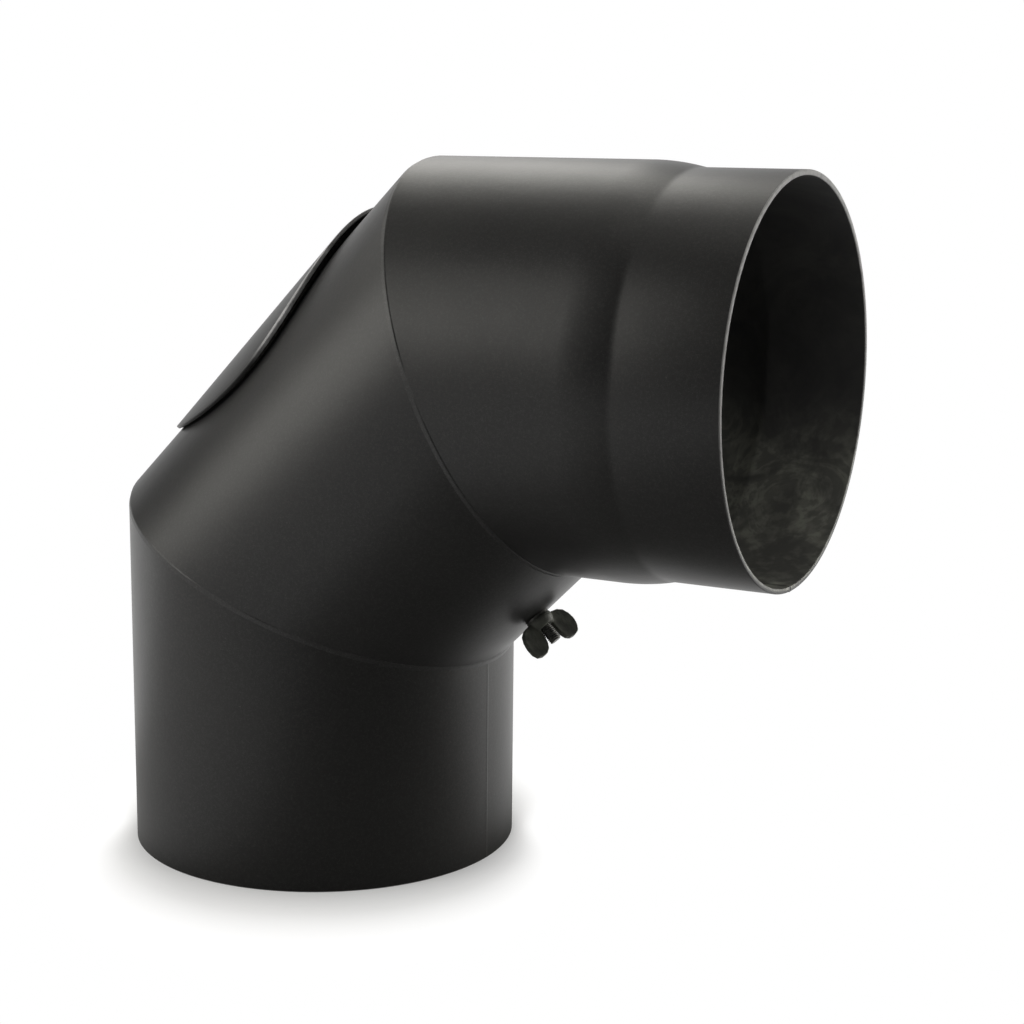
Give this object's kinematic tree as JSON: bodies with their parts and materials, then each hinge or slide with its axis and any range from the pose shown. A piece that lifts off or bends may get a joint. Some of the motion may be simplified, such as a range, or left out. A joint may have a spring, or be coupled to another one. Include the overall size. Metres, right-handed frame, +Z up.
{
  "type": "stove pipe elbow",
  "caption": "Black steel stove pipe bend of welded mitred tubes, with a spigot at one end and a cleaning door held by a rod and a wing nut.",
  "frame": {"origin": "centre of the inlet's rim, on the plane that the elbow stands on", "axes": "+Z up along the inlet tube, +X along the outlet spigot away from the bend, Y across the bend's plane"},
  "size_m": [0.2765, 0.1542, 0.274],
  "materials": {
    "stove_paint": "matt black heat resistant paint on sheet steel",
    "painted_weld": "ground weld under the same matt black paint",
    "glass_fibre": "dark woven glass fibre tape",
    "threaded_steel": "blackened steel",
    "cast_nut": "cast iron under matt black paint"
  },
  "bodies": {
    "elbow": {"lower_segment": "stove_paint", "middle_segment": "stove_paint", "upper_segment": "stove_paint", "lower_mitre_weld": "painted_weld", "upper_mitre_weld": "painted_weld", "lower_seam_weld": "painted_weld", "middle_seam_weld": "painted_weld", "upper_seam_weld": "painted_weld"},
    "cleaning_door": {"door_plate": "stove_paint", "door_collar": "stove_paint", "collar_tack_welds": "painted_weld", "door_gasket": "glass_fibre", "door_rod": "threaded_steel", "rod_foot_weld": "painted_weld"},
    "washer": {"throat_washer": "threaded_steel"},
    "nut": {"wing_nut": "cast_nut"}
  },
  "joints": [
    {"name": "door_lift", "type": "slide", "parent": "elbow", "child": "cleaning_door", "axis": [-0.7168, 0, 0.6973], "range_m": [0, 0.18]},
    {"name": "nut_travel", "type": "slide", "parent": "elbow", "child": "washer", "axis": [0.7168, 0, -0.6973], "range_m": [0, 0.0104]},
    {"name": "wing_nut_turn", "type": "hinge", "parent": "washer", "child": "nut", "pos_m": [0.09663, 0, 0.10026], "axis": [0.7168, 0, -0.6973], "range_deg": [0, 4680]}
  ],
  "couplings": [
    {"joint": "nut_travel", "follows": "wing_nut_turn", "m_per_rad": 0.00012732}
  ]
}
